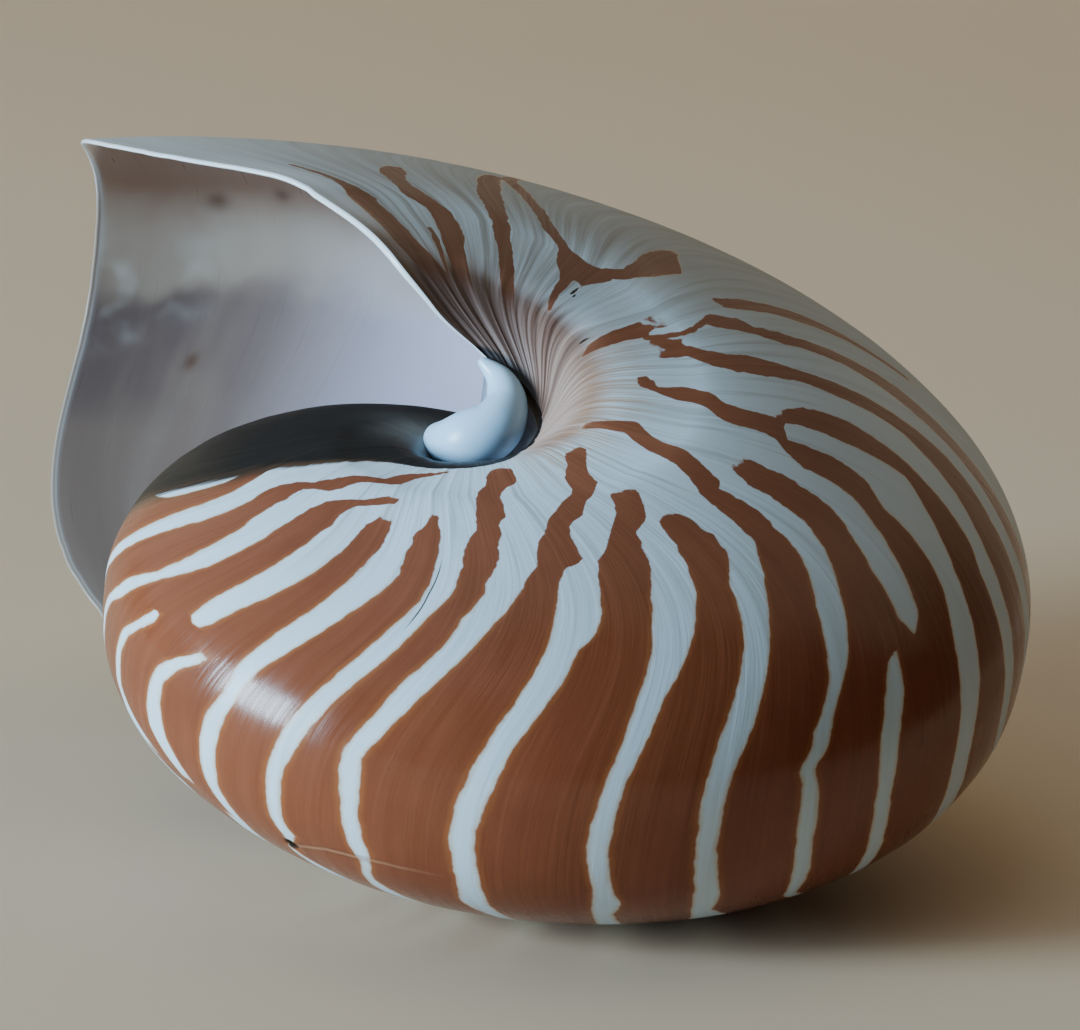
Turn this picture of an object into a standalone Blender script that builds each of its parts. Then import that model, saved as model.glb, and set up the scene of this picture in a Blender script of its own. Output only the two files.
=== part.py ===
"""Nautilus shell: one coiled shell, lying on its flank with its mouth to the left and its near flank up.

The shell is built in its own frame first: the coil's axis is Z, and the middle of the mouth's outer rim is
along +X. It is then turned to the way it rests. Metres throughout, +Z up.
"""

import math

import bmesh
import bpy
import numpy as np
from mathutils import Matrix, Vector

# Size and growth
RIM_RADIUS = 0.102  # coil axis to the middle of the mouth's outer rim
GROWTH_PER_TURN = 3.06  # how much wider the coil is after one turn
GROWTH_CURVATURE = 0.0014  # slight change of that rate, per radian squared

# Cross-section of the coil, in shares of its radius there, and how each share changes per radian of growth
FLANK_RADIUS, FLANK_RADIUS_DRIFT = 0.353, -0.0155  # where the coil is broadest
HALF_BREADTH, HALF_BREADTH_DRIFT = 0.374, -0.06
SEAM_HEIGHT, SEAM_HEIGHT_DRIFT = 0.293, -0.083  # the funnel's bottom, beside the coil axis
SEAM_RADIUS = 0.102
KEEL_POWERS = (1.6, 0.775)  # flatness of the outer rim's curve, in radius and in breadth
FUNNEL_POWERS = (0.4, 2.42)  # shape of the slope down to the seam

# The mouth's edge leads or lags round the coil: cosine terms, as (waves, radians)
RIM_WAVES = ((1, -0.145), (2, 0.1685), (3, -0.02), (4, 0.063), (6, -0.015))
SEAM_LAG, SEAM_LAG_WIDTH = 0.25, 0.6  # it falls back once more beside the seam

# Wall and living chamber
RIM_THICKNESS = 0.0013
WALL_THICKNESS = 0.0023
THICKENING_ANGLE = 1.2  # the wall is at its full thickness this far inside the mouth
CHAMBER_ROWS = 22  # how many growth rows deep the living chamber is
SEPTUM_HOLLOW = 0.010  # how far the end wall bows away from the mouth
RIM_ROUNDING = 0.0005
PLUG_HEIGHT = 0.0185  # the shell's solid middle, on the coil axis

# Callus: the smooth white pad that closes each umbilicus, along a bent line (x, y, z, radius)
CALLUS_PATH = (
    (0.0080, -0.0042, 0.0282, 0.0011),
    (0.0052, -0.0056, 0.0266, 0.0019),
    (0.0022, -0.0050, 0.0249, 0.0026),
    (0.0002, -0.0026, 0.0231, 0.0033),
    (0.0012, 0.0000, 0.0212, 0.0036),
    (0.0040, 0.0010, 0.0196, 0.0034),
    (0.0078, 0.0012, 0.0186, 0.0029),
)

# How it rests: the coil axis leans off the vertical, towards a bearing, and the mouth is turned about it
AXIS_LEAN = 15.0
LEAN_BEARING = -74.3
MOUTH_TURN = -163.5
WORN_DEPTH = 0.0006  # depth of the worn flats that the shell rests on

# Mesh density
ROWS_PER_TURN = 56
SECTION_COLUMNS = 37
EDGE_ROWS = 4
CALLUS_RINGS, CALLUS_SIDES = 12, 12

SHELL_COLOUR = (0.56, 0.30, 0.17, 1.0)


def coil_radius(turn):
    """Outer radius of the coil at an angle of growth: exp(rate * angle + curvature * angle squared)."""
    rate = math.log(GROWTH_PER_TURN) / (2 * math.pi)
    return RIM_RADIUS * np.exp(rate * turn + GROWTH_CURVATURE * turn**2)


def rim_lead(across):
    """How far round the coil a growth line leads its own middle, at a place across the section."""
    waves = sum(size * (1 - np.cos(count * across)) for count, size in RIM_WAVES)
    from_seam = (math.pi - np.abs(across)) / SEAM_LAG_WIDTH
    return waves - SEAM_LAG * np.exp(-(from_seam**2))


def section(across, turn):
    """Distance from the axis and height above the middle plane, in shares of the coil's radius.

    across is 0 at the outer rim, 90 degrees where the coil is broadest and 180 degrees at the seam.
    """
    across = np.abs(across)
    broadest = FLANK_RADIUS * (1 + FLANK_RADIUS_DRIFT * turn)
    half = HALF_BREADTH * (1 + HALF_BREADTH_DRIFT * turn)
    seam = SEAM_HEIGHT * (1 + SEAM_HEIGHT_DRIFT * turn)
    down = np.clip(across - math.pi / 2, 0, math.pi / 2)
    outer_radius = broadest + (1 - broadest) * np.abs(np.cos(across)) ** KEEL_POWERS[0]
    outer_height = half * np.abs(np.sin(across)) ** KEEL_POWERS[1]
    funnel_radius = broadest - (broadest - SEAM_RADIUS) * np.sin(down) ** FUNNEL_POWERS[0]
    funnel_height = seam + (half - seam) * np.clip(np.cos(down), 0, 1) ** FUNNEL_POWERS[1]
    outside = across <= math.pi / 2
    return np.where(outside, outer_radius, funnel_radius), np.where(outside, outer_height, funnel_height)


def outer_surface(growth, across):
    """Points of the shell's outside, on the growth line `growth` (0 is the mouth's edge)."""
    turn = growth + rim_lead(across)
    radius, height = section(across, turn)
    size = coil_radius(turn)
    return np.stack(
        [size * radius * np.cos(turn), size * radius * np.sin(turn), size * height * np.sign(across)], -1
    )


def inner_surface(growth, across):
    """The outside moved inwards along its own normal by the wall's thickness there."""
    step = 1e-4
    place = np.clip(across, -math.pi + 2 * step, math.pi - 2 * step)
    along = outer_surface(growth + step, place) - outer_surface(growth - step, place)
    sideways = outer_surface(growth, place + step) - outer_surface(growth, place - step)
    inwards = np.cross(sideways, along)
    inwards /= np.linalg.norm(inwards, axis=-1, keepdims=True)
    share = np.clip(-growth / THICKENING_ANGLE, 0, 1)
    thickness = RIM_THICKNESS + (WALL_THICKNESS - RIM_THICKNESS) * share
    return outer_surface(growth, across) + inwards * thickness[..., None]


def section_places(count):
    """Places across the section, evenly spaced along its outline, from seam to seam."""
    fine = np.linspace(-math.pi, math.pi, 2001)
    outline = outer_surface(np.full_like(fine, -1.0), fine)
    length = np.concatenate([[0], np.cumsum(np.linalg.norm(np.diff(outline, axis=0), axis=1))])
    places = np.interp(np.linspace(0, length[-1], count), length, fine)
    places[0], places[-1], places[count // 2] = -math.pi, math.pi, 0.0
    return places


def add_grid(bm, points):
    """Quads over a grid of points."""
    rows, columns = points.shape[:2]
    made = [[bm.verts.new(point) for point in row] for row in points]
    for r in range(rows - 1):
        for c in range(columns - 1):
            bm.faces.new((made[r][c], made[r][c + 1], made[r + 1][c + 1], made[r + 1][c]))


def add_fan(bm, tip, rim):
    """Triangles from one point to each pair of neighbours on a line of points."""
    top = bm.verts.new(tip)
    made = [bm.verts.new(point) for point in rim]
    for first, second in zip(made[:-1], made[1:]):
        bm.faces.new((top, first, second))


def between(first, second, rows):
    """Rows of points from one line of points to another."""
    share = np.linspace(0, 1, rows + 1)[:, None, None]
    return first[None] * (1 - share) + second[None] * share


def finish_mesh(bm, name):
    """Welds the shared borders, turns every face outwards and makes the object."""
    bmesh.ops.remove_doubles(bm, verts=bm.verts, dist=1e-7)
    bmesh.ops.recalc_face_normals(bm, faces=bm.faces)
    mesh = bpy.data.meshes.new(name)
    bm.to_mesh(mesh)
    bm.free()
    made = bpy.data.objects.new(name, mesh)
    bpy.context.scene.collection.objects.link(made)
    return made


def make_shell():
    """The whole shell as one closed surface: outside, rim, chamber, end wall and the two plugs."""
    across = section_places(SECTION_COLUMNS)
    step = 2 * math.pi / ROWS_PER_TURN
    growth = np.arange(-ROWS_PER_TURN - CHAMBER_ROWS, 1) * step
    chamber = growth[-CHAMBER_ROWS - 1 :]
    outside = outer_surface(*np.meshgrid(growth, across, indexing="ij"))
    inside = inner_surface(*np.meshgrid(chamber, across, indexing="ij"))
    bm = bmesh.new()
    add_grid(bm, outside)
    add_grid(bm, inside)

    turn = rim_lead(across)
    forward = np.stack([-np.sin(turn), np.cos(turn), np.zeros_like(turn)], -1)
    ease = np.cos(across[:, None] / 2)
    crest = (outside[-1] + inside[-1]) / 2 + forward * RIM_ROUNDING * ease
    add_grid(bm, np.stack([outside[-1], crest, inside[-1]]))

    end = between(inside[0], outside[0], EDGE_ROWS)
    bow = np.sin(np.linspace(0, math.pi, EDGE_ROWS + 1))[:, None, None]
    back = turn + chamber[0]
    backward = np.stack([np.sin(back), -np.cos(back), np.zeros_like(back)], -1)
    add_grid(bm, end + backward[None] * bow * ease[None] ** 2 * SEPTUM_HOLLOW)

    for side in (0, -1):
        earlier = outside[: CHAMBER_ROWS + 1, side]
        wall = between(inside[:, side], earlier, EDGE_ROWS)
        add_grid(bm, wall)
        tip = Vector((0, 0, PLUG_HEIGHT if side else -PLUG_HEIGHT))
        add_fan(bm, tip, outside[CHAMBER_ROWS:, side])
        add_fan(bm, tip, [outside[-1, side], crest[side], *wall[:, -1]])
    return finish_mesh(bm, "nautilus_shell")


def smooth_path(points, count):
    """A smooth curve through all the points, with four numbers each (Catmull-Rom)."""
    ends = np.array([2 * points[0] - points[1], *points, 2 * points[-1] - points[-2]])
    spots = np.linspace(0, len(points) - 1, count)
    first = np.minimum(spots.astype(int), len(points) - 2)
    t = (spots - first)[:, None]
    a, b, c, d = (ends[first + i] for i in range(4))
    return 0.5 * (2 * b + (c - a) * t + (2 * a - 5 * b + 4 * c - d) * t**2 + (3 * b - a - 3 * c + d) * t**3)


def make_callus(name, side):
    """A round-ended pad that follows the callus's line, on the near (1) or the far (-1) flank."""
    line = smooth_path(np.array(CALLUS_PATH), CALLUS_RINGS)
    centre, radius = line[:, :3] * (1, 1, side), line[:, 3]
    along = np.gradient(centre, axis=0)
    along /= np.linalg.norm(along, axis=1, keepdims=True)
    first = np.cross(along, (0, 0, 1))
    first /= np.linalg.norm(first, axis=1, keepdims=True)
    second = np.cross(along, first)
    angle = np.linspace(0, 2 * math.pi, CALLUS_SIDES, endpoint=False)[None, :, None]
    ring = first[:, None] * np.cos(angle) + second[:, None] * np.sin(angle)
    rounded = radius * np.sqrt(1 - np.linspace(-0.9, 0.9, CALLUS_RINGS) ** 2) * 1.15
    points = centre[:, None] + ring * rounded[:, None, None]
    bm = bmesh.new()
    add_grid(bm, np.concatenate([points, points[:, :1]], axis=1))
    for end, outwards in ((0, -1), (-1, 1)):
        tip = centre[end] + along[end] * radius[end] * 0.5 * outwards
        add_fan(bm, tip, [*points[end], points[end][0]])
    return finish_mesh(bm, name)


def join_or_cut(target, other, operation):
    """Applies a Boolean of another object, which stays in the scene as a hidden guide."""
    step = target.modifiers.new(other.name, "BOOLEAN")
    step.operation = operation
    step.object = other
    other.hide_render = True
    other.display_type = "WIRE"


def make_floor_cutter():
    """A block whose top face is at Z = 0, to wear flats on what reaches below it."""
    bm = bmesh.new()
    bmesh.ops.create_cube(bm, size=0.3, matrix=Matrix.Translation((0, 0, -0.15)))
    return finish_mesh(bm, "floor_cutter")


def main():
    for old in list(bpy.data.objects):
        bpy.data.objects.remove(old)
    shell = make_shell()
    pads = [make_callus("callus_near", 1), make_callus("callus_far", -1)]

    rest = (
        Matrix.Rotation(math.radians(LEAN_BEARING), 4, "Z")
        @ Matrix.Rotation(math.radians(AXIS_LEAN), 4, "Y")
        @ Matrix.Rotation(math.radians(MOUTH_TURN), 4, "Z")
    )
    corners = np.array([rest @ vertex.co for vertex in shell.data.vertices])
    low, high = corners.min(axis=0), corners.max(axis=0)
    middle = Vector(((low[0] + high[0]) / 2, (low[1] + high[1]) / 2, low[2] + WORN_DEPTH))
    for piece in (shell, *pads):
        piece.data.transform(Matrix.Translation(-middle) @ rest)
    for pad in pads:
        join_or_cut(shell, pad, "UNION")
    join_or_cut(shell, make_floor_cutter(), "DIFFERENCE")

    paint = bpy.data.materials.new("shell")
    paint.use_nodes = True
    surface = paint.node_tree.nodes["Principled BSDF"]
    surface.inputs["Base Color"].default_value = SHELL_COLOUR
    surface.inputs["Roughness"].default_value = 0.3
    surface.inputs["Metallic"].default_value = 0.0
    shell.data.materials.append(paint)
    shell.data.shade_smooth()
    shell.data.set_sharp_from_angle(angle=math.radians(50))


main()
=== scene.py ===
# %% [markdown]
# # A nautilus shell
#
# One shell, resting on its flank, with its mouth to the left. Everything on it follows one idea: the shell
# grew as a tube whose opening turned round an axis and widened at a steady rate. So every point of it has two
# addresses: how far back in growth it is, and where it is across the tube's section. The shapes, the stripes
# and the fine growth lines below are all functions of those two numbers.

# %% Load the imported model
import math

import bpy
import numpy as np
from mathutils import Matrix, Vector


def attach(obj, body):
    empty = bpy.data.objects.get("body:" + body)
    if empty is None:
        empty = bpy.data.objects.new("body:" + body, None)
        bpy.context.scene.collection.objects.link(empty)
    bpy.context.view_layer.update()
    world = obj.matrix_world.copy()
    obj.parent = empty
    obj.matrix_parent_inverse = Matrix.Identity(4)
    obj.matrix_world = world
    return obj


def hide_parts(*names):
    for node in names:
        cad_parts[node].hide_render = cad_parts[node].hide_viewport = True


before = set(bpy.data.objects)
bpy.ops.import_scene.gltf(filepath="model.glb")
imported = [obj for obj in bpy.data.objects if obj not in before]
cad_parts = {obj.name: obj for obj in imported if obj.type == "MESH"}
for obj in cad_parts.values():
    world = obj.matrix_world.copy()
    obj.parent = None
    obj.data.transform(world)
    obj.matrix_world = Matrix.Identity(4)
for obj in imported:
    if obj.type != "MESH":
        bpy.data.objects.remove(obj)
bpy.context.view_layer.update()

# %% [markdown]
# ## The tube and how it widens
#
# A real shell widens by the same factor each turn, which is a logarithmic spiral: the radius is a number
# raised to the angle. The section is a rounded oval outside. Past its broadest point it slopes down into the
# umbilicus, the funnel round the axis. The mouth's edge isn't straight: it bows forward on the flank and back
# at the outer rim, and since each growth line was once the mouth's edge, all of them carry that curve.

# %% The growth laws
TURN = 2 * math.pi
RIM_RADIUS = 0.102  # metres from the coil's axis to the middle of the mouth's outer rim
GROWTH_RATE = math.log(3.06) / TURN  # the coil is 3.06 times as wide after each turn
GROWTH_CURVATURE = 0.0014  # a slight change of that rate
CHAMBER_DEPTH = 22 / 56 * TURN  # the living chamber's length, as an angle of growth

# The section's measures are shares of the coil's radius. Each drifts a little for every radian of growth.
FLANK_RADIUS, FLANK_DRIFT = 0.353, -0.0155  # where the tube is broadest
HALF_BREADTH, BREADTH_DRIFT = 0.374, -0.06
SEAM_HEIGHT, SEAM_DRIFT = 0.293, -0.083  # the funnel's bottom, beside the axis
SEAM_RADIUS = 0.102
RIM_POWER, FLANK_POWER = 1.6, 0.775  # flatness of the outer rim's curve, in radius and in breadth
FUNNEL_POWER, FUNNEL_SLOPE_POWER = 0.4, 2.42  # the same for the slope down to the seam
SHOULDER = 0.10  # how softly the section turns at its broadest point
SETTLED, FUNNEL_SETTLED = 0.03, 0.1  # stretches over which the slope dies away on the shoulder's two sides

RIM_WAVES = ((1, -0.145), (2, 0.1685), (3, -0.02), (4, 0.063), (6, -0.015))  # (waves, radians)
SEAM_LAG, SEAM_LAG_WIDTH = 0.25, 0.6  # the growth lines fall back once more beside the seam


def coil_radius(turn):
    """Radius of the coil = rim radius x exp(rate x angle + a small share of the angle squared)."""
    return RIM_RADIUS * np.exp(GROWTH_RATE * turn + GROWTH_CURVATURE * turn**2)


def rim_lead(across):
    """Lead of a growth line = a sum of cosine waves across the section, less a bell curve at the seam."""
    waves = sum(size * (1 - np.cos(count * across)) for count, size in RIM_WAVES)
    return waves - SEAM_LAG * np.exp(-(((math.pi - np.abs(across)) / SEAM_LAG_WIDTH) ** 2))


def section(across, turn):
    """Radius and height shares: powers of cosine and sine outside, powers of the slope's angle in the funnel.

    The outside would meet the funnel at a slight angle, so a fading exponential takes its slope away there.
    """
    across = np.abs(across)
    broadest = FLANK_RADIUS * (1 + FLANK_DRIFT * turn)
    half = HALF_BREADTH * (1 + BREADTH_DRIFT * turn)
    seam = SEAM_HEIGHT * (1 + SEAM_DRIFT * turn)
    down = np.clip(across - math.pi / 2, 0, math.pi / 2)
    rounded = (np.cos(across) ** 2 + SHOULDER**2) ** (RIM_POWER / 2) - SHOULDER**RIM_POWER
    full = (1 + SHOULDER**2) ** (RIM_POWER / 2) - SHOULDER**RIM_POWER
    outer = broadest + (1 - broadest) * rounded / full
    funnel = broadest - (broadest - SEAM_RADIUS) * np.sin(down) ** FUNNEL_POWER
    slope = FLANK_POWER * half * full * SHOULDER ** (2 - RIM_POWER) / (RIM_POWER * (1 - broadest))
    outer_height = half * np.abs(np.sin(across)) ** FLANK_POWER
    outer_height = outer_height - slope * SETTLED * np.exp((broadest - outer) / SETTLED)
    funnel_height = seam + (half - seam) * np.clip(np.cos(down), 0, 1) ** FUNNEL_SLOPE_POWER
    funnel_height = funnel_height - slope * SETTLED * np.exp(-(((broadest - funnel) / FUNNEL_SETTLED) ** 2))
    outside = across <= math.pi / 2
    return np.where(outside, outer, funnel), np.where(outside, outer_height, funnel_height)


def smooth_coil(growth, across):
    """Point = (radius x cos, radius x sin, height) at the growth angle plus the growth line's lead."""
    turn = growth + rim_lead(across)
    radius, height = section(across, turn)
    size = coil_radius(turn)
    upright = size * height * np.sign(across)
    return np.stack([size * radius * np.cos(turn), size * radius * np.sin(turn), upright], -1)


print("widest radius", coil_radius(0.0), "one turn earlier", coil_radius(-TURN))

# %% [markdown]
# ## Small relief
#
# Growth isn't perfectly even. There are faint waves where it paused, and close to the umbilicus the shell is
# drawn into pleats. A smooth random wave along the growth angle makes both: a wave that is the same all
# across the section is a growth line in relief. It could be a displacement modifier, but worked into the
# surface function it stays exact where the outside, the rim and the lining meet.

# %% Random waves, slopes and the relief
PLEAT_HEIGHT, PLEAT_EXTRA = 0.00010, 0.00007  # metres, and how much more they stand out near the mouth
PAUSE_HEIGHT = 0.00006
LIP_FLARE = 0.0009
CHIP_DEPTH, CHIP_GROWTH, CHIP_DEGREE = 0.0011, -4.062, -18.4


def ease(low, high, x):
    """Smooth step from 0 at low to 1 at high: 3t^2 - 2t^3."""
    t = np.clip((x - low) / (high - low), 0, 1)
    return t * t * (3 - 2 * t)


def window(x, rise, fall):
    """1 between a rise and a fall, each given as (from, to): a smooth step up x (1 - a smooth step up)."""
    return ease(*rise, x) * (1 - ease(*fall, x))


def bell(x, middle, width):
    """Bell curve: e to the power of -(distance from the middle / width) squared."""
    return np.exp(-(((x - middle) / width) ** 2))


def wander(x, spacing, seed):
    """Smooth random wave between -1 and 1: random heights, one per spacing, eased from each to the next."""
    heights = np.random.default_rng(seed).uniform(-1, 1, 4096)
    place = np.asarray(x) / spacing + 2048
    first = np.floor(place).astype(int) % 4095
    t = place - np.floor(place)
    return heights[first] + (heights[first + 1] - heights[first]) * t * t * (3 - 2 * t)


def relief(growth, across):
    """Height off the smooth coil: pauses of growth, pleats in the funnel, a fuller lip and one chip."""
    degrees = np.degrees(across)
    steep = np.abs(degrees)
    slant = growth + 0.02 * wander(steep, 14, 8)
    pleated = window(steep, (94, 112), (160, 176)) * ease(-3.4, -2.4, growth)
    pleats = wander(slant, 0.085, 3) + 0.45 * wander(slant, 0.034, 4)
    pauses = wander(slant, 0.17, 5) + 0.4 * wander(slant, 0.06, 6)
    flare = LIP_FLARE * bell(steep, 80, 13) * np.exp(growth / 0.35)
    chip = CHIP_DEPTH * bell(degrees, CHIP_DEGREE, 1.3) * bell(growth, CHIP_GROWTH, 0.013)
    folds = PLEAT_HEIGHT + PLEAT_EXTRA * window(growth, (-1.6, -1.1), (-0.9, -0.5))
    paused = PAUSE_HEIGHT * pauses * (1 - ease(150, 172, steep))
    return folds * pleated * pleats + paused + flare - chip


def outwards(growth, across, surface):
    """Unit normal = cross product of the surface's two slopes, each a small central difference."""
    step = 2e-4
    inside = np.clip(across, -math.pi + 2 * step, math.pi - 2 * step)
    along = surface(growth + step, inside) - surface(growth - step, inside)
    sideways = surface(growth, inside + step) - surface(growth, inside - step)
    normal = np.cross(along, sideways)
    return normal / (np.linalg.norm(normal, axis=-1, keepdims=True) + 1e-15)


def coil(growth, across):
    """The smooth coil moved along its normal by the relief, with the lip pulled to its broken edge."""
    degrees = np.degrees(np.abs(across))
    tongue = 0.07 * bell(degrees, 147, 13) * np.exp(growth / 0.25)
    chipped = 0.15 + window(degrees, (35, 50), (95, 115))
    nibbled = 0.0042 * chipped * np.maximum(wander(degrees, 2.4, 9), 0) + 0.0008 * wander(degrees, 9, 10)
    nibbled = nibbled * np.exp(growth / 0.02)
    growth = growth + tongue - nibbled
    lift = relief(growth, across)[..., None]
    return smooth_coil(growth, across) + outwards(growth, across, smooth_coil) * lift


# %% [markdown]
# ## How the shell lies
#
# The functions above have the coil's axis upright. The real shell leans on the bulge of its lower flank and
# on the coil beside the mouth, so the axis is tipped and turned. The two places that it rests on are worn
# flat by less than a millimetre, which here is only a limit on how low a point may be.

# %% From the shell's own axes to where it lies
AXIS_LEAN, LEAN_BEARING, MOUTH_TURN = 15.0, -74.3, -163.5  # degrees


def turned(degrees, axis):
    """Rotation matrix for a turn about one axis."""
    return Matrix.Rotation(math.radians(degrees), 3, axis)


REST = np.array(turned(LEAN_BEARING, "Z") @ turned(AXIS_LEAN, "Y") @ turned(MOUTH_TURN, "Z"))
MIDDLE = np.array([-0.00701, -0.01907, 0.03104])  # where the coil's centre comes to lie, in metres


def lay_down(points):
    """Turn, move, and hold at or above the floor."""
    placed = points @ REST.T + MIDDLE
    placed[..., 2] = np.maximum(placed[..., 2], 0)
    return placed


print("coil's axis after the turn", REST[:, 2].round(3))

# %% [markdown]
# ## Grids into meshes
#
# Each piece is one or more grids of points. A grid becomes quads by joining each point to its right and lower
# neighbours, which can be written for all of them at once with whole arrays. Values that a material needs,
# such as the distance to a stripe's edge, ride along as named attributes, one value per point.

# %% Mesh from grids


def grid_quads(rows, columns, first, flip):
    """Corner numbers of each quad: row x columns + column and its three neighbours, reversed for a flip."""
    corner = first + np.arange(rows - 1)[:, None] * columns + np.arange(columns - 1)[None, :]
    quads = np.stack([corner, corner + 1, corner + columns + 1, corner + columns], -1).reshape(-1, 4)
    return quads[:, ::-1] if flip else quads


def add_object(name, data):
    """A new object in the scene, at the origin."""
    made = bpy.data.objects.new(name, data)
    bpy.context.scene.collection.objects.link(made)
    return made


def make_piece(name, grids, material, values=None, chart=None, normals=None):
    """One object from (points, flip) grids, with point attributes, a UV map and exact normals if given."""
    quads, start = [], 0
    for points, flip in grids:
        quads.append(grid_quads(*points.shape[:2], start, flip))
        start += points.shape[0] * points.shape[1]
    places = lay_down(np.concatenate([points.reshape(-1, 3) for points, _ in grids]))
    quads = np.concatenate(quads)
    mesh = bpy.data.meshes.new(name)
    mesh.vertices.add(len(places))
    mesh.vertices.foreach_set("co", places.ravel())
    mesh.loops.add(quads.size)
    mesh.loops.foreach_set("vertex_index", quads.ravel())
    mesh.polygons.add(len(quads))
    mesh.polygons.foreach_set("loop_start", np.arange(len(quads)) * 4)
    mesh.polygons.foreach_set("use_smooth", np.ones(len(quads), bool))
    mesh.update(calc_edges=True)
    for label, numbers in (values or {}).items():
        rider = mesh.attributes.new(label, "FLOAT", "POINT")
        rider.data.foreach_set("value", numbers.ravel().astype(np.float32))
    if chart is not None:
        layer = mesh.uv_layers.new(name="growth_chart")
        layer.data.foreach_set("uv", chart.reshape(-1, 2)[quads.ravel()].ravel().astype(np.float32))
    if normals is not None:
        mesh.normals_split_custom_set_from_vertices(normals.reshape(-1, 3) @ REST.T)
    piece = add_object(name, mesh)
    mesh.materials.append(material)
    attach(piece, "root")
    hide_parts("nautilus_shell")
    print(name, len(quads) * 2, "triangles")


# %% [markdown]
# ## The stripes on a flat chart
#
# The stripes were laid down at the mouth's edge as it grew, so on a chart of growth against section they are
# simple upright bands. Each band below is a list of (degrees across the section, left edge, right edge), with
# the edges in steps of 1/500 radian from 6.6 radians behind the mouth. Where a white finger runs into the
# brown, the bands on its two sides overlap beyond the finger's tip. The hidden flank repeats the bands with
# each one drifting a little, because the two flanks of a real shell match only roughly.

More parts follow.
